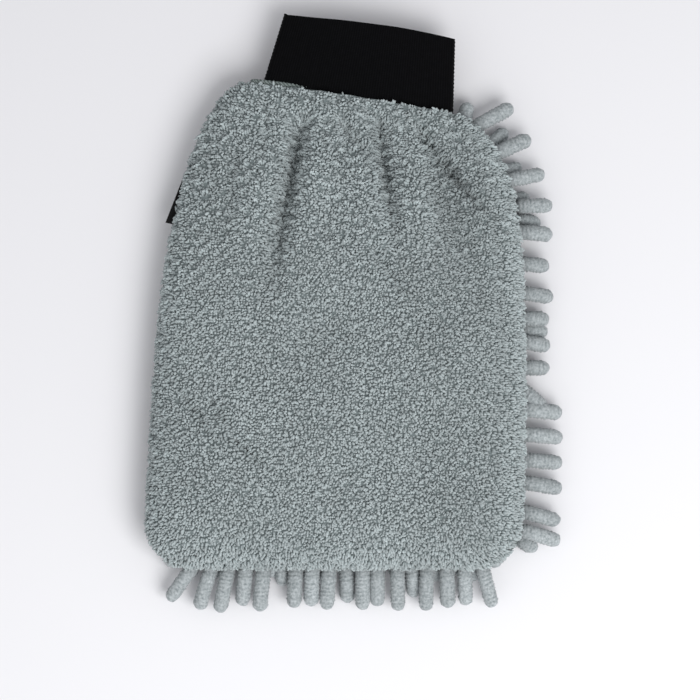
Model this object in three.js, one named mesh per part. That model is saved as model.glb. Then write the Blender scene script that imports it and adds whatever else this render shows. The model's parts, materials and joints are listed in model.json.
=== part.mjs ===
// Wash mitt, lying on its noodles with the plush side up.
// Millimetres, +Z up, +Y towards the cuff. The origin is the middle of the bounding box's underside.
//
// Heights are measured from the surface it lies on. "Reach" is the distance from the end seam
// towards the wrist, along the palm's centre line, and "side" runs from -1 at the left side seam
// to +1 at the right one.

import * as THREE from 'three';

// The palm's outline.
const PALM_X = -8.9;
const END_SEAM_Y = -134.8;
const PALM_HALF_WIDTH = 95.5;
const PALM_REACH = 241;
const END_CORNER_RADIUS = 18;
const SHOULDER_REACH = 248;
const SHOULDER_POWER = 3.5;
const SHOULDER_ROOT = 0.2;
const CENTRE_LEAN = 0.035;
const CENTRE_SHIFT = -1.5;
const WRIST_TILT = THREE.MathUtils.degToRad(-9);
const WRIST_TILT_POWER = 4;

// Heights of the layers, from the table up.
const NOODLE_TOP = 13.7;
const GROUND_BOTTOM = 14;
const GROUND_TOP = 16;
const SEAM_HEIGHT = 17.3;
const SEAM_RADIUS = 1;
const PLUSH_RIM_BOTTOM = 18.6;
const PLUSH_RIM_TOP = 24.6;
const POCKET_CEILING = 28.2;
const PLUSH_CROWN = 38.5;
const LAYER_GAP = 0.3;

// Chenille yarn.
const NOODLE_WIDTH = 7.6;
const NOODLE_PITCH = 9.6;
const NOODLE_TAPER = 1.1;
const YARN_ROOT = 2.8;
const ROW_COUNT = 19;
const ROW_PITCH = 12.5;
const FIRST_ROW_REACH = 9;
const ROW_DEPTH = 8;
const ROW_INSET = 4.5;

// Free noodles round the edge.
const FRINGE_LENGTH = 17.5;
const FRINGE_THICKNESS = 7;
const FRINGE_STRIP = 2.4;
const FRINGE_DROOP = THREE.MathUtils.degToRad(15);
const FRINGE_HINGE_HEIGHT = 16;
const SIDE_FRINGE = { x: 97, y: 8, turn: 0, count: 14, pitch: 12.7 };
const SHOULDER_FRINGE = { x: 95.4, y: 186.2, turn: 27, count: 4, pitch: 11.8 };
const END_FRINGE = { x: -78.6, y: -0.3, turn: -90, count: 16, pitch: 10 };

// Cuff and wrist seam, measured from the wrist line towards the cuff's open end.
const CUFF_SHIFT = 3;
const CUFF_BASE_HALF_WIDTH = 49;
const CUFF_END_HALF_WIDTH = 44;
const CUFF_END = 40.4;
const CUFF_CORNER = 3;
const WEBBING = 2;
const CUFF_BOTTOM = 14.5;
const CUFF_TOP = 25.5;
const FRONT_BAND_START = 5.5;
const BACK_BAND_START = 8.8;
const SIDE_SEAM_WIDTH = 1.8;
const WRIST_RING = { start: 0.3, length: 4, halfWidth: 52, bottom: 13.5, top: 25.9 };
const MOUTH = { halfWidth: 45, bottom: 16.4, top: 23.6, corner: 3 };

// Side tab, a folded ribbon caught in the left side seam.
const TAB = { x: -82.9, y: 192, turn: -12.2, width: 24, thickness: 1.2, shortReach: 6, longReach: 9.5 };

const plush = new THREE.MeshStandardMaterial({ color: '#8a9294', roughness: 0.95, metalness: 0 });
const chenille = new THREE.MeshStandardMaterial({ color: '#a3a8aa', roughness: 0.95, metalness: 0 });
const knit = new THREE.MeshStandardMaterial({ color: '#8d9395', roughness: 0.9, metalness: 0 });
const webbing = new THREE.MeshStandardMaterial({ color: '#121214', roughness: 0.85, metalness: 0 });
const ribbon = new THREE.MeshStandardMaterial({ color: '#0d0d0f', roughness: 0.6, metalness: 0 });
const thread = new THREE.MeshStandardMaterial({ color: '#7d8385', roughness: 0.8, metalness: 0 });

const smooth = THREE.MathUtils.smoothstep;

// Half the palm's width: a full-radius corner at the finger end, straight sides, and shoulders
// that close in along a high-power curve.
function halfWidth(reach) {
  const shoulder = (1 - (reach / SHOULDER_REACH) ** SHOULDER_POWER) ** SHOULDER_ROOT;
  const intoCorner = Math.max(END_CORNER_RADIUS - reach, 0);
  const corner = END_CORNER_RADIUS - Math.sqrt(END_CORNER_RADIUS ** 2 - intoCorner ** 2);
  return PALM_HALF_WIDTH * shoulder - corner;
}

// How far a line across the palm is turned: square at the finger end, tilted at the wrist.
function tiltAt(reach) {
  return WRIST_TILT * (reach / PALM_REACH) ** WRIST_TILT_POWER;
}

// A point of the palm's centre line.
function centreAt(reach) {
  return new THREE.Vector2(CENTRE_SHIFT + CENTRE_LEAN * reach, reach);
}

// A point of the palm in plan, with the outline drawn in by `inset` all round.
function palmPoint(side, reach, inset = 0) {
  const along = THREE.MathUtils.lerp(inset, PALM_REACH, reach / PALM_REACH);
  const out = side * (halfWidth(reach) - inset);
  return centreAt(along).add(new THREE.Vector2(out, 0).rotateAround(new THREE.Vector2(), tiltAt(reach)));
}

// The plush side's outer surface: a pillow that is full in the middle and low at the wrist.
function plushTop(side, reach) {
  const across = (1 - Math.abs(side) ** 3) ** 0.6;
  const end = Math.sin((Math.PI / 2) * Math.min(reach / 45, 1)) ** 0.8;
  const wrist = 1 - 0.75 * smooth(reach, 175, PALM_REACH);
  return THREE.MathUtils.lerp(PLUSH_RIM_TOP, PLUSH_CROWN, across * end * wrist);
}

// The pocket's ceiling, under the plush side.
function pocketCeiling(side, reach) {
  const across = 1 - smooth(Math.abs(side), 0.84, 0.96);
  const end = smooth(reach, 4, 14);
  const wrist = 1 - 0.46 * smooth(reach, 205, PALM_REACH);
  return THREE.MathUtils.lerp(PLUSH_RIM_BOTTOM, POCKET_CEILING, across * end * wrist);
}

// A cloth panel: a box grid laid over the palm, with closer lines towards its edges.
function panelGeometry(columns, rows, inset, bottomAt, topAt) {
  const geometry = new THREE.BoxGeometry(2, 2, 2, columns, rows, 1);
  const position = geometry.attributes.position;
  for (let i = 0; i < position.count; i += 1) {
    const side = Math.sin((Math.PI / 2) * position.getX(i));
    const reach = (PALM_REACH / 2) * (1 + Math.sin((Math.PI / 2) * position.getY(i)));
    const heightAt = position.getZ(i) > 0 ? topAt : bottomAt;
    const place = palmPoint(side, reach, inset);
    position.setXYZ(i, place.x, place.y, heightAt(side, reach));
  }
  return geometry;
}

function extruded(shape, depth, lift = 0) {
  const geometry = new THREE.ExtrudeGeometry(shape, { depth, bevelEnabled: false, curveSegments: 3 });
  return geometry.translate(0, 0, lift);
}

function polygon(points) {
  return new THREE.Shape(points.map(([x, y]) => new THREE.Vector2(x, y)));
}

// A length of chenille yarn in outline: a root strip along +Y from the origin, with `count`
// noodles that point along +X. `tip` is the length of a noodle's rounded end, or 0 for none.
function yarnShape(count, pitch, length, strip, tip) {
  const last = (count - 1) * pitch + NOODLE_WIDTH;
  const points = [[0, last], [0, 0]];
  const narrow = tip > 0 ? NOODLE_WIDTH / 3.5 : NOODLE_TAPER;
  for (let i = 0; i < count; i += 1) {
    const low = i * pitch;
    const high = low + NOODLE_WIDTH;
    points.push([strip, low]);
    if (tip > 0) points.push([length - tip, low]);
    points.push([length, low + narrow], [length, high - narrow]);
    if (tip > 0) points.push([length - tip, high]);
    points.push([strip, high]);
  }
  return polygon(points);
}

// One row of the back's noodles, centred on x = 0 and hanging from z = 0.
function rowGeometry(count) {
  const shape = yarnShape(count, NOODLE_PITCH, NOODLE_TOP, YARN_ROOT, 0);
  const length = (count - 1) * NOODLE_PITCH + NOODLE_WIDTH;
  const geometry = extruded(shape, ROW_DEPTH, -ROW_DEPTH / 2).translate(0, -length / 2, 0);
  return geometry.rotateZ(-Math.PI / 2).rotateX(Math.PI / 2);
}

function part(name, geometry, material) {
  const mesh = new THREE.Mesh(geometry, material);
  mesh.name = name;
  return mesh;
}

function plushPanel() {
  return part('plush_panel', panelGeometry(22, 22, 0, pocketCeiling, plushTop), plush);
}

function chenilleGround() {
  const geometry = panelGeometry(2, 22, 1.5, () => GROUND_BOTTOM, () => GROUND_TOP);
  return part('chenille_ground', geometry, knit);
}

// Rows of yarn across the back, each as long as the palm is wide there.
function noodleRows() {
  const group = new THREE.Group();
  for (let i = 0; i < ROW_COUNT; i += 1) {
    const reach = FIRST_ROW_REACH + i * ROW_PITCH;
    const narrowest = Math.min(halfWidth(reach - ROW_DEPTH / 2), halfWidth(reach + ROW_DEPTH / 2));
    const room = 2 * (narrowest - ROW_INSET);
    const count = Math.floor((room - NOODLE_WIDTH) / NOODLE_PITCH) + 1;
    const row = part(`noodle_row_${String(i + 1).padStart(2, '0')}`, rowGeometry(count), chenille);
    const centre = centreAt(reach);
    row.position.set(centre.x, centre.y, NOODLE_TOP);
    row.rotation.z = tiltAt(reach);
    group.add(row);
  }
  return group;
}

// Free noodles that stand out from an edge, all on one root strip that hinges along its top edge.
function fringe(name, { x, y, turn, count, pitch }) {
  const edge = new THREE.Group();
  edge.position.set(x, y, FRINGE_HINGE_HEIGHT);
  edge.rotation.z = THREE.MathUtils.degToRad(turn);
  const shape = yarnShape(count, pitch, FRINGE_LENGTH, FRINGE_STRIP, NOODLE_WIDTH / 3);
  const geometry = extruded(shape, FRINGE_THICKNESS, -FRINGE_THICKNESS - LAYER_GAP);
  const noodles = part(name, geometry.translate(LAYER_GAP, 0, 0), chenille);
  noodles.rotation.y = FRINGE_DROOP;
  edge.add(noodles);
  return edge;
}

// The overlocked seam allowance, just inside the pocket's edge.
function panelSeam() {
  const inset = 4;
  const path = [];
  const sideStops = 9;
  const cornerStops = 4;
  const lastReach = PALM_REACH - 3;
  const add = (side, reach) => {
    const place = palmPoint(side, reach, inset);
    path.push(new THREE.Vector3(place.x, place.y, SEAM_HEIGHT));
  };
  for (let i = 0; i < sideStops; i += 1) {
    add(-1, THREE.MathUtils.lerp(lastReach, END_CORNER_RADIUS, i / sideStops));
  }
  for (let i = 0; i < cornerStops; i += 1) {
    const turn = (Math.PI / 2) * (i / cornerStops);
    add(-1, END_CORNER_RADIUS * (1 - Math.sin(turn)));
  }
  add(-1, 0);
  add(0, 0);
  add(1, 0);
  for (let i = cornerStops - 1; i >= 0; i -= 1) {
    const turn = (Math.PI / 2) * (i / cornerStops);
    add(1, END_CORNER_RADIUS * (1 - Math.sin(turn)));
  }
  for (let i = sideStops - 1; i >= 0; i -= 1) {
    add(1, THREE.MathUtils.lerp(lastReach, END_CORNER_RADIUS, i / sideStops));
  }
  const section = new THREE.Shape().absarc(0, 0, SEAM_RADIUS, 0, 2 * Math.PI);
  const geometry = new THREE.ExtrudeGeometry(section, {
    steps: 64,
    extrudePath: new THREE.CatmullRomCurve3(path, false, 'centripetal'),
    curveSegments: 6,
  });
  return part('panel_seam', geometry, thread);
}

function roundedRectangle(halfX, low, high, corner) {
  const shape = new THREE.Shape();
  shape.moveTo(-halfX, low + corner);
  shape.absarc(-halfX + corner, low + corner, corner, Math.PI, 1.5 * Math.PI);
  shape.absarc(halfX - corner, low + corner, corner, 1.5 * Math.PI, 2 * Math.PI);
  shape.absarc(halfX - corner, high - corner, corner, 0, 0.5 * Math.PI);
  shape.absarc(-halfX + corner, high - corner, corner, 0.5 * Math.PI, Math.PI);
  return shape;
}

// The seam ring that gathers the palm's mouth into the cuff, with the hand's way through it.
function wristSeam() {
  const { start, length, halfWidth: half, bottom, top } = WRIST_RING;
  const shape = roundedRectangle(half, bottom, top, 5);
  shape.holes.push(roundedRectangle(MOUTH.halfWidth, MOUTH.bottom, MOUTH.top, MOUTH.corner));
  const geometry = extruded(shape, length, -start - length).rotateX(Math.PI / 2);
  return part('wrist_seam', geometry, thread);
}

// Half the cuff's width at a distance from the wrist line.
function cuffHalfWidth(out) {
  const along = (out - FRONT_BAND_START) / (CUFF_END - FRONT_BAND_START);
  return THREE.MathUtils.lerp(CUFF_BASE_HALF_WIDTH, CUFF_END_HALF_WIDTH, along);
}

function cuffBand(name, start, bottom) {
  const seam = SIDE_SEAM_WIDTH + LAYER_GAP;
  const base = cuffHalfWidth(start) - seam;
  const end = cuffHalfWidth(CUFF_END) - seam;
  const shape = polygon([[-base, start], [base, start], [end, CUFF_END], [-end, CUFF_END]]);
  return part(name, extruded(shape, WEBBING, bottom), webbing);
}

function cuffSideSeam(name, hand) {
  const last = CUFF_END - CUFF_CORNER;
  const base = hand * cuffHalfWidth(BACK_BAND_START);
  const end = hand * cuffHalfWidth(last);
  const tip = hand * (cuffHalfWidth(CUFF_END) - SIDE_SEAM_WIDTH);
  const width = hand * SIDE_SEAM_WIDTH;
  const outline = [
    [base - width, BACK_BAND_START],
    [base, BACK_BAND_START],
    [end, last],
    [tip, CUFF_END],
    [end - width, last],
  ];
  if (hand < 0) outline.reverse();
  return part(name, extruded(polygon(outline), CUFF_TOP - CUFF_BOTTOM, CUFF_BOTTOM), thread);
}

function cuff() {
  const group = new THREE.Group();
  group.position.x = CUFF_SHIFT;
  group.add(cuffBand('cuff_front_band', FRONT_BAND_START, CUFF_TOP - WEBBING));
  group.add(cuffBand('cuff_back_band', BACK_BAND_START, CUFF_BOTTOM));
  group.add(cuffSideSeam('cuff_left_seam', -1));
  group.add(cuffSideSeam('cuff_right_seam', 1));
  return group;
}

// Everything that is square to the tilted wrist line.
function wrist() {
  const group = new THREE.Group();
  const centre = centreAt(PALM_REACH);
  group.position.set(centre.x, centre.y, 0);
  group.rotation.z = WRIST_TILT;
  group.add(wristSeam(), cuff());
  return group;
}

function sideTab() {
  const half = TAB.width / 2;
  const outline = [[-TAB.longReach, -half], [0, -half], [0, half], [-TAB.shortReach, half]];
  const tab = part('side_tab', extruded(polygon(outline), TAB.thickness), ribbon);
  tab.position.set(TAB.x, TAB.y, SEAM_HEIGHT - TAB.thickness / 2);
  tab.rotation.z = THREE.MathUtils.degToRad(TAB.turn);
  return tab;
}

const mitt = new THREE.Group();
mitt.position.set(PALM_X, END_SEAM_Y, 0);
mitt.add(
  plushPanel(),
  chenilleGround(),
  panelSeam(),
  noodleRows(),
  fringe('side_fringe', SIDE_FRINGE),
  fringe('shoulder_fringe', SHOULDER_FRINGE),
  fringe('end_fringe', END_FRINGE),
  wrist(),
  sideTab(),
);

export default mitt;
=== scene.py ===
import json
import math

import bpy
import numpy as np
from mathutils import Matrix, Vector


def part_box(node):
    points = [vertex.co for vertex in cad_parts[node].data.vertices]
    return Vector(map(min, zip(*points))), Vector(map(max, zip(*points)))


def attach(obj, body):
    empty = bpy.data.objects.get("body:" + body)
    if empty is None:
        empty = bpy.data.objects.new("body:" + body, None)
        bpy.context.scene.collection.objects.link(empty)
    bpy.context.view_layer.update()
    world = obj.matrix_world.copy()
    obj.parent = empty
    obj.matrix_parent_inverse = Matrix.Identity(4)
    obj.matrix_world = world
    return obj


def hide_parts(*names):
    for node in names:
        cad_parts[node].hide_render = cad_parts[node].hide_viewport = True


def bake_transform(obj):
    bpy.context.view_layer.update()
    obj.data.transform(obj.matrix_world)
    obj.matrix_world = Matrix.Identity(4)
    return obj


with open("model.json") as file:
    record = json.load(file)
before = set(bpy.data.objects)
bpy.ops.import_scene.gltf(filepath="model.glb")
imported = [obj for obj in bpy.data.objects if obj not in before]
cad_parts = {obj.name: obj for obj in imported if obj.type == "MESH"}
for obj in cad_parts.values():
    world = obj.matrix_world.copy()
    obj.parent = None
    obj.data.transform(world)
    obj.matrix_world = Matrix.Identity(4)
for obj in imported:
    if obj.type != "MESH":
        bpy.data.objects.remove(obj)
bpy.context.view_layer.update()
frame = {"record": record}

draw = np.random.default_rng(21)

# --- Camera, floor and light -----------------------------------------------------------------
# The mitt lies on a plain pale table, seen from almost straight above and a little from its
# finger end. A soft light stands beyond that end to the right, and a weaker one to the left.
# Lengths are in millimetres until a mesh is made; MM turns them to metres.

MM = 0.001
VIEW_ELEVATION = math.radians(82)
VIEW_DISTANCE = 1.3
VIEW_TARGET = (-0.0018, -0.0235, 0.020)
VIEW_LENS = 131.6


def srgb(code):
    """A hex colour as linear light: each channel through the sRGB curve."""
    channels = np.array([int(code[i:i + 2], 16) for i in (1, 3, 5)]) / 255
    curve = np.where(channels <= 0.04045, channels / 12.92, ((channels + 0.055) / 1.055) ** 2.4)
    return (*curve.tolist(), 1.0)


def add_node(material, kind, settings=None, links=None, **inputs):
    """A shader node with its settings, its input values by name, and links into its sockets."""
    tree = material.node_tree
    made = tree.nodes.new(kind)
    for key, value in (settings or {}).items():
        setattr(made, key, value)
    for key, value in inputs.items():
        made.inputs[key.replace("_", " ")].default_value = value
    for socket, source in (links or {}).items():
        tree.links.new(source, made.inputs[socket])
    return made


def new_material(name, **shader):
    """A material with one Principled shader, whose uniform values go straight on its sockets."""
    material = bpy.data.materials.new(name)
    material.use_nodes = True
    for key, value in shader.items():
        shader_socket(material, key.replace("_", " ")).default_value = value
    return material


def shader_socket(material, name):
    """An input of the material's Principled shader."""
    return material.node_tree.nodes["Principled BSDF"].inputs[name]


def two_tone(material, factor, dark, light):
    """A colour ramp from a dark tone where the factor is 0 to a light one where it is 1."""
    ramp = add_node(material, "ShaderNodeValToRGB", links={"Fac": factor})
    ramp.color_ramp.elements[0].color = srgb(dark)
    ramp.color_ramp.elements[1].color = srgb(light)
    return ramp


def colour_by(material, colour):
    """Paint the surface with the colour that a node gives."""
    material.node_tree.links.new(colour, shader_socket(material, "Base Color"))


def bump_by(material, height, strength, depth):
    """Fine relief on the surface, from a node's height and a depth in metres."""
    bump = add_node(material, "ShaderNodeBump", Strength=strength, Distance=depth,
                    links={"Height": height})
    material.node_tree.links.new(bump.outputs["Normal"], shader_socket(material, "Normal"))


def new_piece(name, points, faces, material=None):
    """A smooth mesh from points in millimetres and arrays of faces, one array per corner count."""
    mesh = bpy.data.meshes.new(name)
    mesh.vertices.add(len(points))
    mesh.vertices.foreach_set("co", (np.asarray(points) * MM).astype(np.float32).ravel())
    corners = np.concatenate([np.asarray(f).ravel() for f in faces]).astype(np.int32)
    totals = np.concatenate([np.full(len(f), np.shape(f)[1]) for f in faces])
    mesh.loops.add(len(corners))
    mesh.loops.foreach_set("vertex_index", corners)
    mesh.polygons.add(len(totals))
    mesh.polygons.foreach_set("loop_start", (np.cumsum(totals) - totals).astype(np.int32))
    mesh.polygons.foreach_set("use_smooth", np.ones(len(totals), bool))
    mesh.update(calc_edges=True)
    piece = bpy.data.objects.new(name, mesh)
    bpy.context.scene.collection.objects.link(piece)
    if material:
        mesh.materials.append(material)
    return piece


def grid_faces(rows, columns, wrap=False):
    """Quads of a rows by columns grid of points, closed round its columns if wrap is true."""
    here = np.arange(rows * columns).reshape(rows, columns)
    low, high = here[:-1], here[1:]
    if wrap:
        low, high = (np.concatenate([part, part[:, :1]], axis=1) for part in (low, high))
    quads = np.stack([low[:, :-1], low[:, 1:], high[:, 1:], high[:, :-1]], axis=-1)
    return quads.reshape(-1, 4)


# White paint, dead matt, with a hardly visible cloudiness.
TABLE_HALF = 2500
TABLE_HEIGHT = -0.1

table_paint = new_material("matt_white_table", Roughness=0.9)
grain = add_node(table_paint, "ShaderNodeTexNoise", Scale=6.0, Detail=2.0)
colour_by(table_paint, two_tone(table_paint, grain.outputs["Fac"], "#e6e5e8", "#efeff1").outputs["Color"])

table_x, table_y = np.meshgrid([-TABLE_HALF, TABLE_HALF], [-TABLE_HALF, TABLE_HALF])
table_points = np.stack([table_x, table_y, np.full((2, 2), TABLE_HEIGHT)], axis=-1).reshape(-1, 3)
table = new_piece("table", table_points, [grid_faces(2, 2)], table_paint)

camera_data = bpy.data.cameras.new("camera")
camera_data.lens = VIEW_LENS
camera = bpy.data.objects.new("camera", camera_data)
away = (0, -math.cos(VIEW_ELEVATION), math.sin(VIEW_ELEVATION))
camera.location = [t + VIEW_DISTANCE * a for t, a in zip(VIEW_TARGET, away)]
camera.rotation_euler = (math.pi / 2 - VIEW_ELEVATION, 0, 0)
bpy.context.scene.collection.objects.link(camera)
bpy.context.scene.camera = camera


def area_light(name, place, size, power):
    """A square soft light that faces the middle of the mitt."""
    data = bpy.data.lights.new(name, "AREA")
    data.size = size
    data.energy = power
    lamp = bpy.data.objects.new(name, data)
    x, y, z = place
    lamp.location = place
    lamp.rotation_euler = (math.acos(z / math.hypot(x, y, z)), 0, math.atan2(y, x) + math.pi / 2)
    bpy.context.scene.collection.objects.link(lamp)


area_light("key_light", (0.48, -0.66, 1.1), 0.8, 13.5)
area_light("fill_light", (-0.7, -0.9, 1.2), 1.6, 4)
world = bpy.data.worlds.new("studio")
world.use_nodes = True
world.node_tree.nodes["Background"].inputs["Color"].default_value = srgb("#f2f3f6")
world.node_tree.nodes["Background"].inputs["Strength"].default_value = 0.54
bpy.context.scene.world = world
bpy.context.scene.view_settings.view_transform = "Standard"


# --- Plush face: backing cloth ---------------------------------------------------------------
# The mitt's upper face is one piece of microfibre coral fleece, cut wider than the palm and
# drawn in at the wrist, where the spare width stands in soft folds that run down the mitt.
# "side" runs from -1 at the left seam to +1 at the right one, "reach" from the end seam to the
# wrist, both over the same palm outline as the CAD panel.

PALM_HALF_WIDTH = 95.5
PALM_REACH = 241
END_CORNER_RADIUS = 23
SHOULDER_REACH = 248
WRIST_TILT = math.radians(-9)
SEAM_HEIGHT = 17
PILE_INSET = 1.8
BACKING_CROWN = 35.6
PLUSH_END = 241.5

panel_low = np.array(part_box("plush_panel")[0]) / MM


def smooth_step(value, low, high):
    """0 below low, 1 above high, and an S-curve between them."""
    t = np.clip((value - low) / (high - low), 0, 1)
    return t * t * (3 - 2 * t)


def half_width(reach):
    """Half the palm's width: a full-radius corner at the end, straight sides, curved shoulders."""
    shoulder = (1 - (reach / SHOULDER_REACH) ** 3.5) ** 0.2
    into_corner = np.maximum(END_CORNER_RADIUS - reach, 0)
    corner = END_CORNER_RADIUS - np.sqrt(END_CORNER_RADIUS ** 2 - into_corner ** 2)
    return PALM_HALF_WIDTH * shoulder - corner


def tilt_at(reach):
    """How far a line across the palm is turned: none at the end, the full tilt at the wrist."""
    return WRIST_TILT * (reach / PALM_REACH) ** 4


def palm_outline(side, reach, inset=0.0):
    """A point of the palm in plan: out from the leaning centre line along the tilted cross line,
    with the outline drawn in by inset."""
    out = side * (half_width(reach) - inset)
    along = inset + reach * (1 - inset / PALM_REACH)
    tilt = tilt_at(reach)
    centre_x = 0.035 * along - 1.5 + 2 * smooth_step(along, 120, 225)
    return centre_x + out * np.cos(tilt), along + out * np.sin(tilt)


widest_left = palm_outline(-1, np.linspace(0, 150, 300))[0].min()
PALM_X = panel_low[0] - widest_left
PALM_Y = panel_low[1]


# Each fold is a soft valley, or a ridge where its depth is negative: where it starts and ends
# in plan, its depth and its width.
FOLDS = [
    ((-18, 227), (-36, 128), 10.0, 5.6),
    ((-6, 224), (-19, 150), -2.6, 7.0),
    ((-34, 220), (-48, 150), -2.6, 7.5),
    ((5, 227), (20, 204), 5.5, 4.2),
    ((12, 222), (16, 160), -2.2, 6.0),
    ((22, 228), (31, 158), 9.5, 4.4),
    ((41, 216), (43, 150), -2.4, 6.0),
    ((21, 158), (35, 136), 5.0, 2.6),
    ((44, 222), (64, 196), 8.0, 3.8),
    ((60, 202), (82, 172), 8.5, 3.8),
    ((50, 206), (60, 160), 3.0, 8.0),
    ((82, 178), (87, 60), 3.4, 3.4),
    ((58, 192), (76, 120), 3.6, 9.0),
    ((-52, 212), (-55, 166), 3.8, 3.6),
    ((-66, 214), (-60, 176), 3.0, 3.4),
    ((-36, 226), (-40, 196), 3.0, 4.0),
    ((-6, 228), (-4, 206), 3.4, 3.6),
    ((-76, 86), (-59, 64), 5.0, 2.2),
    ((-62, 84), (-53, 68), 4.5, 2.2),
    ((-50, 64), (-32, 47), 5.0, 2.2),
    ((30, 152), (54, 112), 2.4, 9.0),
    ((-8, 120), (-30, 80), 2.0, 10.0),
]


def fold_depth(x, y):
    """Depth of all folds: each a Gaussian trough round its line, fading out at its far end."""
    total = np.zeros_like(x)
    for (x0, y0), (x1, y1), depth, width in FOLDS:
        run = np.array([x1 - x0, y1 - y0])
        length = np.hypot(*run)
        along = ((x - x0) * run[0] + (y - y0) * run[1]) / length ** 2
        across = ((x - x0) * run[1] - (y - y0) * run[0]) / length
        fade = smooth_step(along, -0.35, 0.12) * (1 - smooth_step(along, 0.35, 1.15))
        total += depth * fade * np.exp(-(across / width) ** 2)
    return total * (1 - smooth_step(y, 226, 238))


def swell(x, y):
    """Slow uneven fullness: three crossing sine waves some 60 to 90 mm long, and the small
    pleats of the gathered wrist, about 13 mm apart, which die away down the mitt."""
    waves = np.sin(x / 11 + y / 29) + np.sin(y / 13 - x / 31 + 2) + np.sin((x + y) / 17 + 4)
    pleats = np.sin(0.48 * x + 1.3 * np.sin(x / 19 + 2) + y / 25)
    return 0.8 * waves + 0.8 * smooth_step(y, 178, 236) * pleats


def plush_surface(side, reach):
    """The backing's outer face: a pillow with round edges, lower at the wrist and lowest where
    a folded cuff lies back on it, less the folds."""
    x, y = palm_outline(side, reach, PILE_INSET)
    across = (1 - np.abs(side) ** 3.4) ** 0.42
    end = (1 - (1 - np.clip(reach / 50, 0, 1)) ** 3.2) ** 0.45
    wrist = 1 - 0.38 * smooth_step(reach, 165, 236) - 0.06 * smooth_step(reach, 234, PLUSH_END)
    under_cuff = 0.08 * smooth_step(reach, 195, 217) * (1 - smooth_step(reach, 228, 239))
    rise = (BACKING_CROWN - SEAM_HEIGHT) * across * end * (wrist - under_cuff)
    soft = smooth_step(across * end, 0.35, 1.0)
    z = SEAM_HEIGHT + rise + soft * (swell(x, y) - fold_depth(x, y))
    return np.stack([x + PALM_X, y + PALM_Y, z], axis=-1)


def edge_spaced(count, low=-1.0, high=1.0):
    """Values from low to high that crowd towards both ends, as a sine of even steps."""
    return low + (high - low) * (1 + np.sin(np.linspace(-np.pi / 2, np.pi / 2, count))) / 2


def surface_normal(function, side, reach):
    """Unit normals from small steps of the two parameters."""
    step = 1e-4
    side = np.clip(side, -0.9996, 0.9996)
    reach = np.clip(reach, 0.03, PLUSH_END - 0.03)
    over = function(side + step, reach) - function(side - step, reach)
    up = function(side, reach + 100 * step) - function(side, reach - 100 * step)
    normal = np.cross(over, up)
    return normal / np.linalg.norm(normal, axis=-1, keepdims=True)


# Knitted backing, mid grey and darker than the pile: partly its own colour and partly painted shade; it
# only shows as the dark between the curls.
backing_knit = new_material("knitted_backing", Roughness=0.95)
place = add_node(backing_knit, "ShaderNodeTexCoord")
mottle = add_node(backing_knit, "ShaderNodeTexNoise", Scale=900.0, Detail=2.0,
                  links={"Vector": place.outputs["Object"]})
tone = two_tone(backing_knit, mottle.outputs["Fac"], "#646d6e", "#7d8788")
colour_by(backing_knit, tone.outputs["Color"])
bump_by(backing_knit, mottle.outputs["Fac"], 0.4, 0.0004)

BACKING_ROWS = 190
BACKING_COLUMNS = 170
CLOTH_THICKNESS = 1.8
sides, reaches = np.meshgrid(edge_spaced(BACKING_COLUMNS), edge_spaced(BACKING_ROWS, 0, PLUSH_END))
plush_backing = new_piece("plush_backing", plush_surface(sides, reaches).reshape(-1, 3),
                          [grid_faces(BACKING_ROWS, BACKING_COLUMNS)], backing_knit)
thicken = plush_backing.modifiers.new("cloth_thickness", "SOLIDIFY")
thicken.thickness = CLOTH_THICKNESS * MM
thicken.offset = -1
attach(plush_backing, "mitt")
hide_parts("plush_panel")


# --- Plush face: curled pile -----------------------------------------------------------------
# The pile is split microfibre that was heat-set into short tufts. Each curls over to one side,
# so from above the face is a mass of pale little worms with dark gaps between them.

TUFT_ROW_STEP = 1.18
TUFT_STEP = 1.22
TUFT_CORNERS = 4
TUFT_ARC = np.array([0.0, 0.42, 0.84])
TUFT_GIRTH = np.array([0.85, 1.0, 0.8])
TUFT_RADIUS = 0.72


def scatter_tufts():
    """Roots about 1.2 mm apart, in rows: even steps of length down the middle of the face and
    then across it, each shaken by a part of a step. Gives side and reach of every root."""
    spine = edge_spaced(1200, 0, PLUSH_END)
    cross = edge_spaced(700)
    middle = plush_surface(np.zeros_like(spine), spine)
    run = np.concatenate([[0], np.cumsum(np.linalg.norm(np.diff(middle, axis=0), axis=1))])
    all_sides, all_reaches = [], []
    for stop in np.arange(0.4, run[-1], TUFT_ROW_STEP):
        reach = np.interp(stop, run, spine)
        line = plush_surface(cross, np.full_like(cross, reach))
        width = np.concatenate([[0], np.cumsum(np.linalg.norm(np.diff(line, axis=0), axis=1))])
        at = np.arange(draw.uniform(0, TUFT_STEP), width[-1], TUFT_STEP)
        at = at + draw.uniform(-0.35, 0.35, len(at)) * TUFT_STEP
        all_sides.append(np.interp(at, width, cross))
        shaken = stop + draw.uniform(-0.35, 0.35, len(at)) * TUFT_ROW_STEP
        all_reaches.append(np.interp(shaken, run, spine))
    return np.concatenate(all_sides), np.concatenate(all_reaches)


def clumps(x, y, size):
    """Uneven clumping: the mean of fourteen sine waves in random directions, each about the
    clump size long. Gives its height and its slope, which leans tufts towards clump middles."""
    turn, start = draw.uniform(0, 2 * np.pi, (2, 14))
    pace = 2 * np.pi / (size * draw.uniform(0.75, 1.6, 14))
    phase = pace * (np.cos(turn) * x[:, None] + np.sin(turn) * y[:, None]) + start
    scale = size / (2 * np.pi) / math.sqrt(7)
    slope_x = (pace * np.cos(turn) * np.cos(phase)).sum(axis=1) * scale
    slope_y = (pace * np.sin(turn) * np.cos(phase)).sum(axis=1) * scale
    return np.sin(phase).sum(axis=1) / math.sqrt(7), slope_x, slope_y


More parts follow.
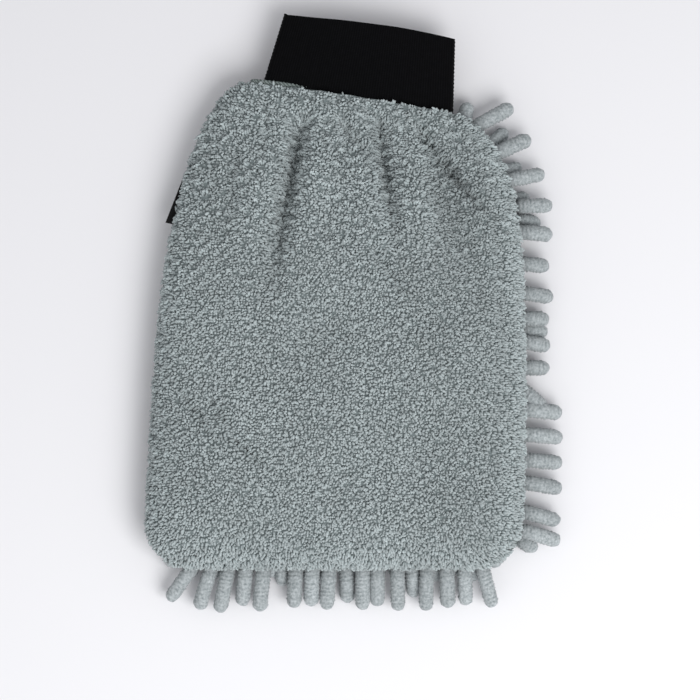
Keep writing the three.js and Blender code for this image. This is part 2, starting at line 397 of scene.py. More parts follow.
def curl_tufts(roots, normals, lean, arc, height, radius):
    """Tapered hooks: each centre line is an arc that rises along the normal and bends over
    towards the lean direction; rings of points round it close in to a tip."""
    lean = lean - normals * np.sum(lean * normals, axis=1, keepdims=True)
    lean /= np.linalg.norm(lean, axis=1, keepdims=True)
    across = np.cross(normals, lean)
    angle = arc[:, None] * np.append(TUFT_ARC, 1.0)[None]
    up = (height[:, None] * np.sin(np.minimum(angle, np.pi)))[..., None]
    over = (height[:, None] * (1 - np.cos(angle)))[..., None]
    centre = roots[:, None] + normals[:, None] * up + lean[:, None] * over
    tangent = normals[:, None] * np.cos(angle)[..., None] + lean[:, None] * np.sin(angle)[..., None]
    inner = np.cross(tangent, across[:, None])
    round_angle = 2 * np.pi * np.arange(TUFT_CORNERS) / TUFT_CORNERS
    girth = radius[:, None] * TUFT_GIRTH[None]
    ring = (np.cos(round_angle)[:, None] * across[:, None, None]
            + np.sin(round_angle)[:, None] * inner[:, :-1, None])
    rings = centre[:, :-1, None] + girth[..., None, None] * ring
    tip = centre[:, -1:] + tangent[:, -1:] * 0.35 * radius[:, None, None]
    count = len(roots)
    return np.concatenate([rings.reshape(count, -1, 3), tip], axis=1)


def tuft_faces(count):
    """Faces of every tuft: its side quads, the fan at its tip and the cap under its root."""
    levels = len(TUFT_ARC)
    quads = grid_faces(levels, TUFT_CORNERS, wrap=True)
    last = (levels - 1) * TUFT_CORNERS + np.arange(TUFT_CORNERS)
    fan = np.stack([last, np.roll(last, -1), np.full(TUFT_CORNERS, levels * TUFT_CORNERS)], axis=1)
    cap = np.arange(TUFT_CORNERS)[None, ::-1]
    first = np.arange(count)[:, None, None] * (levels * TUFT_CORNERS + 1)
    return [(first + part[None]).reshape(-1, part.shape[1]) for part in (quads, fan, cap)]


def point_values(piece, name, values):
    """One number for each point of the mesh, for its material to read."""
    layer = piece.data.attributes.new(name, "FLOAT", "POINT")
    layer.data.foreach_set("value", np.asarray(values, np.float32).ravel())


# Heat-set microfibre: matt, with a faint edge sheen; pale at the tips and darker at the roots,
# where the light is lost between the tufts.
fleece = new_material("coral_fleece", Roughness=0.95, Sheen_Weight=0.2, Sheen_Roughness=0.5)
depth = add_node(fleece, "ShaderNodeAttribute", {"attribute_name": "along"})
shade = two_tone(fleece, depth.outputs["Fac"], "#6e7879", "#a6aeaf")
shade.color_ramp.elements.new(0.5).color = srgb("#98a2a3")
# Each tuft's tone: random, with painted light and shade mixed in further down.
tone_attribute = add_node(fleece, "ShaderNodeAttribute", {"attribute_name": "tone"})
place = add_node(fleece, "ShaderNodeTexCoord")
# Painted light and shade: slow patches a few centimetres across, lighter and darker, for the shading of
# the pile's broad undulations.
painted_broad_shade = add_node(fleece, "ShaderNodeTexNoise", Scale=28.0, Detail=2.0,
                 links={"Vector": place.outputs["Object"]})
value = add_node(fleece, "ShaderNodeMath", {"operation": "MULTIPLY_ADD"},
                 links={0: painted_broad_shade.outputs["Fac"], 2: tone_attribute.outputs["Fac"]})
value.inputs[1].default_value = 0.26
tinted = add_node(fleece, "ShaderNodeHueSaturation",
                  links={"Color": shade.outputs["Color"], "Value": value.outputs["Value"]})
colour_by(fleece, tinted.outputs["Color"])
fibre = add_node(fleece, "ShaderNodeTexNoise", Scale=2600.0, Detail=1.0,
                 links={"Vector": place.outputs["Object"]})
bump_by(fleece, fibre.outputs["Fac"], 0.5, 0.0002)

# The pile is most ruffled near the wrist. It leans down the mitt and outwards over its edges,
# and along the right edge it is combed over the side, where it is painted a little paler, as
# painted light on the combed edge.
CLUMP_SIZE = 4.6

tuft_side, tuft_reach = scatter_tufts()
tuft_root = plush_surface(tuft_side, tuft_reach)
tuft_normal = surface_normal(plush_surface, tuft_side, tuft_reach)
tufts = len(tuft_root)
clump, clump_x, clump_y = clumps(tuft_root[:, 0], tuft_root[:, 1], CLUMP_SIZE)
ruffled = 0.35 + 0.45 * smooth_step(tuft_reach, 110, 215)
lay = np.stack([clump_x * ruffled, clump_y * ruffled - 0.35, np.zeros(tufts)], axis=1)
lay += draw.normal(0, 0.55, (tufts, 3)) + 2.2 * tuft_normal * [1, 1, 0]
lay[:, 0] += 1.8 * smooth_step(tuft_side, 0.8, 0.9)
rolled_edge = smooth_step(1 - tuft_normal[:, 2], 0.15, 0.6)
tuft_arc = np.radians(draw.uniform(25, 90, tufts))
tuft_height = draw.uniform(1.5, 2.2, tufts) * (1 + 0.25 * rolled_edge)
tuft_girth = TUFT_RADIUS * draw.uniform(0.7, 1.25, tufts)
tuft_lift = -0.3 + 0.5 * clump * ruffled
tuft_points = curl_tufts(tuft_root + tuft_lift[:, None] * tuft_normal, tuft_normal, lay,
                         tuft_arc, tuft_height, tuft_girth)
tuft_along = np.append(np.repeat(TUFT_ARC, TUFT_CORNERS), 1.0)
# Tufts vary in tone at random; raised clumps are painted a little paler, as painted light on their tops.
tuft_tone_and_shade = draw.uniform(0.79, 1.11, tufts) * (1 + 0.13 * clump * ruffled)
# Painted light and shade: the combed right edge a little paler, and the pile right of the middle a little
# darker.
tuft_tone_and_shade *= 1 + 0.11 * smooth_step(tuft_side, 0.84, 0.92) - 0.08 * smooth_step(tuft_side, 0.15, 0.6)
# Painted shade: tufts down in the folds a little darker.
tuft_tone_and_shade *= 1 - 0.03 * fold_depth(tuft_root[:, 0] - PALM_X, tuft_root[:, 1] - PALM_Y)

# The pile is held in five lengthwise strips with as many tufts each, to keep each mesh light.
PILE_STRIPS = 5
borders = np.quantile(tuft_root[:, 0], np.linspace(0, 1, PILE_STRIPS + 1))[1:-1]
strip = np.searchsorted(borders, tuft_root[:, 0])
for number in range(PILE_STRIPS):
    chosen = strip == number
    points = tuft_points[chosen]
    pile = new_piece(f"plush_pile_{number + 1}", points.reshape(-1, 3), tuft_faces(len(points)), fleece)
    point_values(pile, "along", np.tile(tuft_along, len(points)))
    point_values(pile, "tone", np.repeat(tuft_tone_and_shade[chosen], points.shape[1]))
    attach(pile, "mitt")


# --- Back: ground cloth ----------------------------------------------------------------------
# The back is a plain knitted cloth, the same outline as the face. Its edges turn up to meet the
# face at the seam, and the chenille yarn is knitted through it.

GROUND_HEIGHT = 16
GROUND_THICKNESS = 1.2
GROUND_ROWS = 90
GROUND_COLUMNS = 80


def ground_surface(side, reach):
    """A shallow tray: flat across the palm, its edges turned up to the seam's height."""
    x, y = palm_outline(side, reach, PILE_INSET)
    edge = np.maximum(np.abs(side) ** 10, (1 - np.clip(reach / 24, 0, 1)) ** 3)
    z = GROUND_HEIGHT - 0.9 + (SEAM_HEIGHT - GROUND_HEIGHT + 0.9) * edge
    return np.stack([x + PALM_X, y + PALM_Y, z], axis=-1)


# Warp-knitted ground, grey: rows of stitches about 1.2 mm apart.
ground_knit = new_material("warp_knitted_ground", Roughness=0.92, Sheen_Weight=0.15)
place = add_node(ground_knit, "ShaderNodeTexCoord")
stitches, courses = (
    add_node(ground_knit, "ShaderNodeTexWave", {"bands_direction": way}, Scale=260.0,
             Distortion=1.2, links={"Vector": place.outputs["Object"]}) for way in "XY")
loops = add_node(ground_knit, "ShaderNodeMath", {"operation": "MULTIPLY"},
                 links={0: stitches.outputs["Fac"], 1: courses.outputs["Fac"]})
tone = two_tone(ground_knit, loops.outputs["Value"], "#5f696a", "#98a2a2")
colour_by(ground_knit, tone.outputs["Color"])
bump_by(ground_knit, loops.outputs["Value"], 0.6, 0.0005)

sides, reaches = np.meshgrid(edge_spaced(GROUND_COLUMNS), edge_spaced(GROUND_ROWS, 0, PLUSH_END - 1))
ground_points = ground_surface(sides, reaches).reshape(-1, 3)
ground_cloth = new_piece("ground_cloth", ground_points,
                         [grid_faces(GROUND_ROWS, GROUND_COLUMNS)[:, ::-1]], ground_knit)
thicken = ground_cloth.modifiers.new("cloth_thickness", "SOLIDIFY")
thicken.thickness = GROUND_THICKNESS * MM
thicken.offset = 0
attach(ground_cloth, "mitt")
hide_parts("chenille_ground")


# --- Chenille noodles ------------------------------------------------------------------------
# Chenille yarn is a twisted core with short cut pile standing out all round it. Looped through
# the ground in rows, it makes soft round noodles that lie over each other like shingles.

NOODLE_RADIUS = 3.75
NOODLE_RIDGE = 1.9


def noodle_tubes(root, knee, end, radius, rings, corners):
    """Round-ended tubes on quadratic curves from root by knee to end. The radius swells and
    dips with the yarn's twist, and every point is shaken a little, as cut pile is uneven."""
    count = len(root)
    body = np.linspace(0, 1, rings - 4)
    length = np.linalg.norm(knee - root, axis=1) + np.linalg.norm(end - knee, axis=1)
    dome = np.radians([25, 48, 68, 82])
    neck = np.linspace(0.62, 1, 5)
    tip_share = (radius / length)[:, None]
    a = np.concatenate([body * (1 - tip_share), 1 - tip_share * (1 - np.sin(dome))], axis=1)
    close = np.concatenate([neck, np.ones(rings - 9), np.cos(dome)])
    a3 = a[..., None]
    centre = (1 - a3) ** 2 * root[:, None] + 2 * a3 * (1 - a3) * knee[:, None] + a3 ** 2 * end[:, None]
    tangent = 2 * (1 - a3) * (knee - root)[:, None] + 2 * a3 * (end - knee)[:, None]
    tangent /= np.linalg.norm(tangent, axis=-1, keepdims=True)
    flat = end - root
    across = np.stack([-flat[:, 1], flat[:, 0], np.zeros(count)], axis=1)
    across /= np.linalg.norm(across, axis=1, keepdims=True)
    across = np.repeat(across[:, None], rings, axis=1)
    over = np.cross(across, tangent)
    travelled = a * length[:, None]
    angle = 2 * np.pi * np.arange(corners) / corners
    turns = 2 * np.pi * travelled / NOODLE_RIDGE + draw.uniform(0, 6, (count, 1))
    twist = 1 + 0.055 * np.sin(turns[..., None] + 2 * angle)
    girth = (radius[:, None] * close)[..., None] * twist
    shaken = girth * (1 + draw.normal(0, 0.045, (count, rings, corners)))
    ring = np.cos(angle)[:, None] * across[:, :, None] + np.sin(angle)[:, None] * over[:, :, None]
    points = centre[:, :, None] + shaken[..., None] * ring
    root_cap = root[:, None] - tangent[:, :1] * 0.2
    end_tip = end[:, None]
    points = np.concatenate([points.reshape(count, -1, 3), root_cap, end_tip], axis=1)
    values = np.concatenate([np.repeat(travelled, corners, axis=1), travelled[:, :1] * 0,
                             length[:, None]], axis=1)
    return points, values


def noodle_faces(count, rings, corners):
    """Side quads, and a fan of triangles at each end, for every noodle."""
    quads = grid_faces(rings, corners, wrap=True)
    first_ring = np.arange(corners)
    last_ring = (rings - 1) * corners + first_ring
    foot = np.full(corners, rings * corners)
    start = np.stack([np.roll(first_ring, -1), first_ring, foot], axis=1)
    finish = np.stack([last_ring, np.roll(last_ring, -1), foot + 1], axis=1)
    triangles = np.concatenate([start, finish])
    base = np.arange(count)[:, None, None] * (rings * corners + 2)
    return [(base + part[None]).reshape(-1, part.shape[1]) for part in (quads, triangles)]


# Cut microfibre pile on the yarn: matt and fuzzy, a little paler than the face, with dark flecks of
# painted shade where the pile parts and faint painted shading of the rings from the core's twist.
# Each noodle is also painted darker towards its root, as shade under the mitt.
chenille = new_material("chenille_yarn", Roughness=0.95, Sheen_Weight=0.35, Sheen_Roughness=0.4)
place = add_node(chenille, "ShaderNodeTexCoord")
flecks = add_node(chenille, "ShaderNodeTexNoise", Scale=820.0, Detail=3.0, Roughness=0.65,
                  links={"Vector": place.outputs["Object"]})
travel = add_node(chenille, "ShaderNodeAttribute", {"attribute_name": "travelled"})
rings = add_node(chenille, "ShaderNodeMath", {"operation": "SINE"})
turns = add_node(chenille, "ShaderNodeMath", {"operation": "MULTIPLY"}, links={0: travel.outputs["Fac"]})
turns.inputs[1].default_value = 2 * math.pi / NOODLE_RIDGE
chenille.node_tree.links.new(turns.outputs["Value"], rings.inputs[0])
relief = add_node(chenille, "ShaderNodeMath", {"operation": "MULTIPLY_ADD"},
                  links={0: rings.outputs["Value"], 2: flecks.outputs["Fac"]})
relief.inputs[1].default_value = 0.025
# Painted shade: darker in the flecks and in the troughs of the twist rings.
tone = two_tone(chenille, relief.outputs["Value"], "#7e8688", "#bbc1c3")
tone.color_ramp.elements[0].position = 0.3
tone.color_ramp.elements[1].position = 0.68
shadow = add_node(chenille, "ShaderNodeMapRange", links={"Value": travel.outputs["Fac"]})
for key, number in (("From Min", 0.0), ("From Max", 9.0), ("To Min", 0.62), ("To Max", 1.0)):
    shadow.inputs[key].default_value = number
tone_attribute = add_node(chenille, "ShaderNodeAttribute", {"attribute_name": "tone"})
value = add_node(chenille, "ShaderNodeMath", {"operation": "MULTIPLY"},
                 links={0: shadow.outputs["Result"], 1: tone_attribute.outputs["Fac"]})
tinted = add_node(chenille, "ShaderNodeHueSaturation",
                  links={"Color": tone.outputs["Color"], "Value": value.outputs["Value"]})
colour_by(chenille, tinted.outputs["Color"])
bump_by(chenille, relief.outputs["Value"], 0.7, 0.0005)


def noodle_piece(name, node, root, knee, end, radius, rings, corners):
    """One piece of chenille, in the place of its CAD node."""
    points, travelled = noodle_tubes(root, knee, end, radius, rings, corners)
    piece = new_piece(name, points.reshape(-1, 3), noodle_faces(len(root), rings, corners), chenille)
    point_values(piece, "travelled", travelled)
    tones = draw.uniform(0.9, 1.04, len(root))
    point_values(piece, "tone", np.repeat(tones, points.shape[1]))
    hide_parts(node)
    return piece


# --- Back: rows of noodles -------------------------------------------------------------------
# Nineteen rows, each one yarn, hang from the ground cloth. The mitt's weight lays them over
# towards the finger end, so the tips of each row lie under the roots of the next.

ROW_COUNT = 19
ROW_PITCH = 12.5
FIRST_ROW_REACH = 9
NOODLE_PITCH = 9.6
ROW_INSET = 9

for number in range(1, ROW_COUNT + 1):
    reach = FIRST_ROW_REACH + (number - 1) * ROW_PITCH
    width = 2 * (half_width(reach) - ROW_INSET)
    count = int(width // NOODLE_PITCH) + 1
    spread = np.linspace(-1, 1, count) * (count - 1) * NOODLE_PITCH / 2
    x, y = palm_outline(spread / half_width(reach), np.full(count, float(reach)))
    root = np.stack([x + PALM_X, y + PALM_Y, np.full(count, GROUND_HEIGHT - 2.0)], axis=1)
    heading = -np.pi / 2 + draw.normal(0, 0.22, count)
    lie = draw.uniform(12, 14.5, count)
    lean = np.stack([np.cos(heading), np.sin(heading), np.zeros(count)], axis=1)
    knee = root + lean * 2.5 + np.array([0, 0, -8.5])
    radius = NOODLE_RADIUS * draw.uniform(1.04, 1.14, count)
    end = root + lean * lie[:, None]
    end[:, 2] = radius + draw.uniform(0.4, 1.0, count)
    # The first row's outer noodles reach less far, and stay inside the palm's round corners.
    if number == 1:
        end[[0, -1]] = root[[0, -1]] + [0, -7, -6]
    # The last row's right noodle is turned back, and its tip shows beside the cuff's corner.
    if number == ROW_COUNT:
        end[-1] = root[-1] + [3, 17, 8 - root[-1, 2]]
        knee[-1] = root[-1] + [0, 6, -7]
    row = noodle_piece(f"noodles_row_{number:02d}", f"noodle_row_{number:02d}",
                       root, knee, end, radius, 18, 10)
    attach(row, "mitt")


# --- Edge noodles ----------------------------------------------------------------------------
# The outermost noodles are caught in the side and end seams and stand out past the plush.
# Each line gives a noodle's place along its root line, how far it points off square to the
# edge in degrees, its reach past the edge, how far its tip droops, and how far its root lies
# under the others.

EDGE_ROOT_DEPTH = 4.5
EDGE_ROOT_HEIGHT = 12.4
SIDE_NOODLES = [
    (8, -28, 5, 6, 3), (12.5, -15, 17, 5, 0), (22.3, -14, 17, 5, 0), (36.8, -8, 17.7, 5, 0),
    (48, -3, 17.8, 5, 0), (61.3, -4, 18.2, 5, 0), (73.8, -3, 18, 5, 0), (86, -40, 14, 4, 0),
    (95, 2, 11.5, 5, 0), (108.8, -6, 12, 6, 0), (120.2, 3, 11.5, 6, 0), (134, -5, 14, 6, 0),
    (149.2, -3, 12, 5, 0), (165.7, -3, 14, 4, 0), (179, 3, 14.3, 3, 0),
    (114, 6, 11, 6, 5), (173, -6, 8, 5, 5),
]
SHOULDER_NOODLES = [
    (17, -14, 20, 3, 0), (31.4, -1, 21.5, 3, 0), (48.5, 3, 21, 2, 0),
    (7, -12, 7, 5, 5), (22, -4, 11, 5, 5), (36, 16, 14, 5, 5),
]
END_NOODLES = [
    (8, -36, 19, 5, 0), (16.5, -17, 20, 5, 0), (25, -12, 21, 5, 0), (33.5, -6, 17, 6, 0),
    (42.5, -6, 20, 5, 0), (51, 2, 6, 7, 4), (58.5, -3, 18, 5, 0), (66.8, -2, 17, 6, 0),
    (75.5, -4, 19, 5, 0), (83.8, 2, 15, 6, 4), (92.2, 0, 19, 5, 0), (99.8, -1, 17, 6, 0),
    (109.6, 1, 19.5, 5, 0), (117, 4, 12, 7, 4), (124.8, -2, 19.5, 5, 0), (134.5, 2, 18, 5, 0),
    (143.5, 2, 16.5, 6, 0), (151.8, 15, 18.5, 5, 0),
]


def joint_place(name):
    """Where a joint of the record stands, in millimetres."""
    joint = next(j for j in frame["record"]["behaviour"]["joints"] if j["name"] == name)
    return np.array(joint["pos_m"]) / MM


def edge_noodles(name, node, joint_name, turn, noodles):
    """Noodles along the hinge line of a joint: each starts just inside the edge and bends down."""
    line_start = joint_place(joint_name)
    along, off, past, droop, under = np.array(noodles, float).T
    facing = math.radians(turn)
    outward = np.array([math.cos(facing), math.sin(facing), 0])
    onward = np.array([-math.sin(facing), math.cos(facing), 0])
    root = line_start + along[:, None] * onward - EDGE_ROOT_DEPTH * outward
    root[:, 2] = EDGE_ROOT_HEIGHT - under
    aim = facing + np.radians(off)
    toward = np.stack([np.cos(aim), np.sin(aim), np.zeros(len(aim))], axis=1)
    reach = past + EDGE_ROOT_DEPTH
    end = root + toward * reach[:, None]
    end[:, 2] -= droop
    knee = root + toward * 0.55 * reach[:, None]
    knee[:, 2] += 0.15 * droop
    radius = NOODLE_RADIUS * draw.uniform(0.95, 1.05, len(aim))
    piece = noodle_piece(name, node, root, knee, end, radius, 44, 16)
    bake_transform(piece)


edge_noodles("side_noodles", "side_fringe", "side_fringe_swing", 0, SIDE_NOODLES)
edge_noodles("shoulder_noodles", "shoulder_fringe", "shoulder_fringe_swing", 27, SHOULDER_NOODLES)
edge_noodles("end_noodles", "end_fringe", "end_fringe_swing", -90, END_NOODLES)


# --- Cuff ------------------------------------------------------------------------------------
# Two bands of black elastic webbing, one on each panel, overlocked together down both sides.
# Lying flat the loop is lens-shaped, and its base is drawn into the palm's gathered mouth.

CUFF_SHIFT = 4.2
CUFF_BASE_HALF_WIDTH = 49
CUFF_END_HALF_WIDTH = 44
FRONT_START = -5
BACK_START = 1
CUFF_END = 40.4
CUFF_MIDDLE = 20
CUFF_LENS = 4.2
CUFF_SAG = 1.6
CUFF_SIDE_GAP = 0.4
WEBBING = 1.5

wrist_x = 0.035 * PALM_REACH - 1.5 + PALM_X
wrist_y = PALM_REACH + PALM_Y


def at_wrist(x, y, z):
    """Points given along and out from the tilted wrist line, placed in the frame."""
    cosine, sine = math.cos(WRIST_TILT), math.sin(WRIST_TILT)
    return np.stack([wrist_x + x * cosine - y * sine, wrist_y + x * sine + y * cosine, z], axis=-1)


def cuff_half_width(out):
    """Half the cuff's width, narrowing in a straight line from its base to its end."""
    return CUFF_BASE_HALF_WIDTH + (CUFF_END_HALF_WIDTH - CUFF_BASE_HALF_WIDTH) * out / CUFF_END


def cuff_middle(out):
    """Height of the loop's middle plane, which sags a little towards the cuff's end."""
    return CUFF_MIDDLE - CUFF_SAG * smooth_step(out, 0, CUFF_END)


def cuff_band(face, layer, across, out):
    """One face of a band: a flat lens that bows away from the loop's middle plane, with small
    ripples, where face is +1 or -1 and layer is 0 on its inner side and 1 on its outer side."""
    half = cuff_half_width(out) - CUFF_SIDE_GAP
    ripple = 0.25 * np.sin(across * 9 + out / 9) + 0.18 * np.sin(out / 5 + across * 4)
    bow = 0.8 + CUFF_LENS * (1 - np.abs(across) ** 2.6)
    z = cuff_middle(out) + face * (bow + layer * WEBBING + ripple * (1 - across ** 4))
    edge = out + 0.7 * np.sin(across * 2.2 + 0.6) * smooth_step(out, 25, CUFF_END)
    return at_wrist(CUFF_SHIFT + across * half, edge, z)


def slab(name, outer, inner, material):
    """A closed slab from two matching grids of points, joined round their edges."""
    rows, columns = outer.shape[:2]
    faces = grid_faces(rows, columns)
    index = np.arange(rows * columns).reshape(rows, columns)
    rim = np.concatenate([index[0, :-1], index[:-1, -1], index[-1, :0:-1], index[:0:-1, 0]])
    after = np.roll(rim, -1)
    back = rows * columns
    walls = np.stack([after, rim, rim + back, after + back], axis=1)
    points = np.concatenate([outer.reshape(-1, 3), inner.reshape(-1, 3)])
    return new_piece(name, points, [np.concatenate([faces, faces[:, ::-1] + back, walls])], material)


def flat_uv(piece, name, u, v):
    """A UV map of real lengths in millimetres, one pair for each point of the mesh."""
    corner_point = np.empty(len(piece.data.loops), np.int32)
    piece.data.loops.foreach_get("vertex_index", corner_point)
    pairs = np.stack([np.ravel(u), np.ravel(v)], axis=1)[corner_point]
    layer = piece.data.uv_layers.new(name=name)
    layer.data.foreach_set("uv", pairs.astype(np.float32).ravel())


# Woven elastic: covered rubber warps make ribs about 1.3 mm apart, crossed by fine black weft.
# Matt, near black, greying a little where the ribs catch the light.
elastic = new_material("woven_elastic", Roughness=0.95, Specular_IOR_Level=0.05)
weave = add_node(elastic, "ShaderNodeUVMap", {"uv_map": "weave"})
ribs, picks = (
    add_node(elastic, "ShaderNodeTexWave", {"bands_direction": way}, Scale=scale,
             Distortion=distortion, links={"Vector": weave.outputs["UV"]})
    for way, scale, distortion in (("X", 0.245, 0.4), ("Y", 0.36, 0.6)))
cloth = add_node(elastic, "ShaderNodeMath", {"operation": "MULTIPLY_ADD"},
                 links={0: picks.outputs["Fac"], 2: ribs.outputs["Fac"]})
cloth.inputs[1].default_value = 0.5
lint = add_node(elastic, "ShaderNodeTexNoise", Scale=0.35, Detail=4.0,
                links={"Vector": weave.outputs["UV"]})
shade = add_node(elastic, "ShaderNodeMath", {"operation": "MULTIPLY"},
                 links={0: cloth.outputs["Value"], 1: lint.outputs["Fac"]})
colour_by(elastic, two_tone(elastic, shade.outputs["Value"], "#070708", "#101012").outputs["Color"])
bump_by(elastic, cloth.outputs["Value"], 0.5, 0.0003)

for name, node, face, start in (("cuff_front", "cuff_front_band", 1, FRONT_START),
                                ("cuff_back", "cuff_back_band", -1, BACK_START)):
    across, out = np.meshgrid(np.linspace(-1, 1, 90), np.linspace(start, CUFF_END, 60))
    layers = [cuff_band(face, layer, across, out) for layer in (1, 0)]
    outer, inner = layers if face > 0 else layers[::-1]
    band = slab(name, outer, inner, elastic)
    flat_uv(band, "weave", np.tile(across * 47, (2, 1)), np.tile(out, (2, 1)))
    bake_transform(band)
    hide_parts(node)


# --- Seams -----------------------------------------------------------------------------------
# Overlock stitching: a soft ridge of thread that wraps the cloth's edges. It closes the cuff
# down both sides, joins the two panels all round, and draws the palm's mouth onto the cuff.


def stitched_cord(path, width, height, stitch, corners=10):
    """A ridge along a path: an oval section, swelling once for every stitch of thread. The path
    is an array of points; the section stands square to it, with its height along Z."""
    along = np.gradient(path, axis=0)
    along /= np.linalg.norm(along, axis=1, keepdims=True)
    across = np.cross(along, [0.0, 0.0, 1.0])
    across /= np.linalg.norm(across, axis=1, keepdims=True)
    upward = np.cross(across, along)
    run = np.concatenate([[0], np.cumsum(np.linalg.norm(np.diff(path, axis=0), axis=1))])
    angle = 2 * np.pi * np.arange(corners) / corners
    swell_by = 1 + 0.16 * np.sin(2 * np.pi * run[:, None] / stitch + angle[None])
    points = (path[:, None]
              + (width / 2 * np.cos(angle) * swell_by)[..., None] * across[:, None]
              + (height / 2 * np.sin(angle) * swell_by)[..., None] * upward[:, None])
    return points


def resample(path, step):
    """The same path with its points an even step apart."""
    run = np.concatenate([[0], np.cumsum(np.linalg.norm(np.diff(path, axis=0), axis=1))])
    even = np.linspace(0, run[-1], max(int(run[-1] / step), 8))
    return np.stack([np.interp(even, run, path[:, axis]) for axis in range(3)], axis=1)


def cord_piece(name, path, width, height, stitch, material, closed=False):
    """A stitched ridge as a mesh, capped at its ends or joined into a ring."""
    points = stitched_cord(path, width, height, stitch)
    rows, corners = points.shape[:2]
    faces = grid_faces(rows, corners, wrap=True)
    if closed:
        last = (rows - 1) * corners + np.arange(corners)
        first = np.arange(corners)
        seam = np.stack([last, np.roll(last, -1), np.roll(first, -1), first], axis=1)
        return new_piece(name, points.reshape(-1, 3), [np.concatenate([faces, seam])], material)
    caps = np.stack([np.arange(corners)[::-1], (rows - 1) * corners + np.arange(corners)])
    return new_piece(name, points.reshape(-1, 3), [faces, caps], material)


def thread_material(name, dark, light):
    """Polyester overlock thread: slanted strands about 1 mm apart, nearly matt."""
    material = new_material(name, Roughness=0.85, Specular_IOR_Level=0.15)
    place = add_node(material, "ShaderNodeTexCoord")
    strands = add_node(material, "ShaderNodeTexWave", {"bands_direction": "DIAGONAL"}, Scale=330.0,
                       Distortion=1.0, links={"Vector": place.outputs["Object"]})
    colour_by(material, two_tone(material, strands.outputs["Fac"], dark, light).outputs["Color"])
    bump_by(material, strands.outputs["Fac"], 0.6, 0.0003)
    return material


grey_thread = thread_material("grey_overlock_thread", "#59625f", "#8d9795")
black_thread = thread_material("black_overlock_thread", "#040405", "#0d0d0f")

# Round the palm, from the left shoulder down, across the finger end and up the right side.
left_stops = edge_spaced(160, 0, PALM_REACH)[::-1]
outline = np.concatenate([
    np.stack(palm_outline(np.full(160, -1.0), left_stops, PILE_INSET), axis=1),
    np.stack(palm_outline(np.linspace(-1, 1, 60), np.zeros(60), PILE_INSET), axis=1)[1:-1],
    np.stack(palm_outline(np.full(160, 1.0), left_stops[::-1], PILE_INSET), axis=1),
])
palm_edge = np.column_stack([outline[:, 0] + PALM_X, outline[:, 1] + PALM_Y,
                             np.full(len(outline), SEAM_HEIGHT - 0.4)])
panel_seam = cord_piece("panel_overlock", resample(palm_edge, 1.0), 2.6, 2.6, 2.4, grey_thread)
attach(panel_seam, "mitt")
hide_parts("panel_seam")

# The ring at the wrist follows the cuff's lens section.
turn = np.linspace(0, 2 * np.pi, 261)[:-1]
ring_x = 51 * np.sign(np.cos(turn)) * np.abs(np.cos(turn)) ** 0.7
ring_z = CUFF_MIDDLE - 0.3 + 4.9 * np.sin(turn)
wrist_ring = at_wrist(ring_x, np.full_like(turn, 2.0), ring_z)
ring_start = np.concatenate([wrist_ring, wrist_ring[:1]])
wrist_seam = cord_piece("wrist_overlock", resample(ring_start, 1.0)[:-1], 2.8, 2.4, 2.4,
                        grey_thread, closed=True)
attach(wrist_seam, "mitt")
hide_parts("wrist_seam")

for name, node, hand in (("cuff_left_overlock", "cuff_left_seam", -1),
                         ("cuff_right_overlock", "cuff_right_seam", 1)):
    stops = np.linspace(BACK_START, CUFF_END + 0.2 * hand, 60)
    path = at_wrist(CUFF_SHIFT + hand * (cuff_half_width(stops) - 0.2), stops, cuff_middle(stops))
    side_seam = cord_piece(name, resample(path, 0.5), 2.0, 4.2, 2.0, black_thread)
    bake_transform(side_seam)
    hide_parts(node)


# --- Side tab --------------------------------------------------------------------------------
# A short length of black satin ribbon, folded in half with its ends caught in the left side
# seam. It lies almost flat and shows as a narrow black edge beside the plush.

TAB_TURN = math.radians(-12.2)
TAB_WIDTH = 24
TAB_SHORT = 4.0
TAB_LONG = 7.5
TAB_DOWN = 3
TAB_ROOT = 6.0
TAB_GAP = 0.25
RIBBON = 0.4

tab_x, tab_y, tab_z = joint_place("tab_flip")

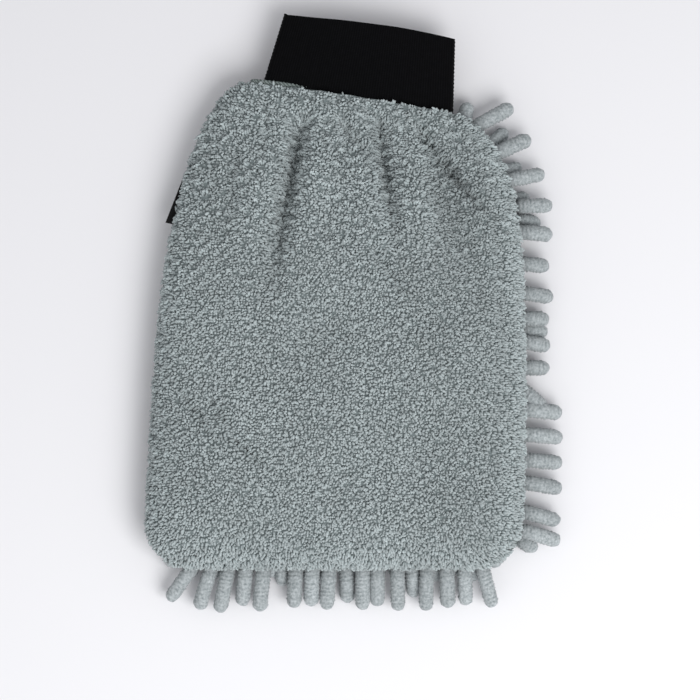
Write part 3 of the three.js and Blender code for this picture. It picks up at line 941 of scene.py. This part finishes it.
# Satin ribbon: smooth, with a faint gloss and fine weft lines across it.
satin = new_material("black_satin_ribbon", Roughness=0.7, Specular_IOR_Level=0.2)
place = add_node(satin, "ShaderNodeTexCoord")
weft = add_node(satin, "ShaderNodeTexWave", {"bands_direction": "Y"}, Scale=520.0, Distortion=0.3,
                links={"Vector": place.outputs["Object"]})
colour_by(satin, two_tone(satin, weft.outputs["Fac"], "#050506", "#0b0b0d").outputs["Color"])
bump_by(satin, weft.outputs["Fac"], 0.3, 0.0001)


def folded_ribbon():
    """A hairpin section carried along the seam: out along the lower layer, round the fold and
    back along the upper one, with the reach growing from one end of the tab to the other."""
    bend = np.linspace(-np.pi / 2, np.pi / 2, 9)
    inner = TAB_GAP / 2
    outer = inner + RIBBON
    sections = []
    for radius in (outer, inner):
        leg = np.linspace(0, 1, 8)[:-1]
        lower = np.stack([leg, np.zeros(7), np.full(7, -radius)], axis=1)
        nose = np.stack([np.ones(9), radius * np.cos(bend), radius * np.sin(bend)], axis=1)
        upper = np.stack([leg[::-1], np.zeros(7), np.full(7, radius)], axis=1)
        sections.append(np.concatenate([lower, nose, upper]))
    loop = np.concatenate([sections[0], sections[1][::-1]])
    stops = np.linspace(-0.5, 0.5, 26)[:, None]
    reach = (TAB_SHORT + TAB_LONG) / 2 - (TAB_LONG - TAB_SHORT) * stops
    out = -(loop[None, :, 0] * (reach - outer) + loop[None, :, 1]) + TAB_ROOT
    along = TAB_WIDTH * stops - TAB_DOWN
    z = tab_z + loop[None, :, 2] + 0.5 * (out / 9) ** 2 * np.sin(stops * 5)
    cosine, sine = math.cos(TAB_TURN), math.sin(TAB_TURN)
    return np.stack([tab_x + out * cosine - along * sine, tab_y + out * sine + along * cosine, z], axis=-1)


ribbon_points = folded_ribbon()
ribbon_rows, ribbon_corners = ribbon_points.shape[:2]
half_loop = ribbon_corners // 2
outer_side = np.arange(half_loop)
inner_side = ribbon_corners - 1 - outer_side
end_strip = np.stack([outer_side[:-1], outer_side[1:], inner_side[1:], inner_side[:-1]], axis=1)
far_strip = end_strip[:, ::-1] + (ribbon_rows - 1) * ribbon_corners
ribbon_faces = np.concatenate([grid_faces(ribbon_rows, ribbon_corners, wrap=True)[:, ::-1],
                               end_strip, far_strip])
side_tab = new_piece("ribbon_tab", ribbon_points.reshape(-1, 3), [ribbon_faces], satin)
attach(side_tab, "tab")
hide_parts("side_tab")
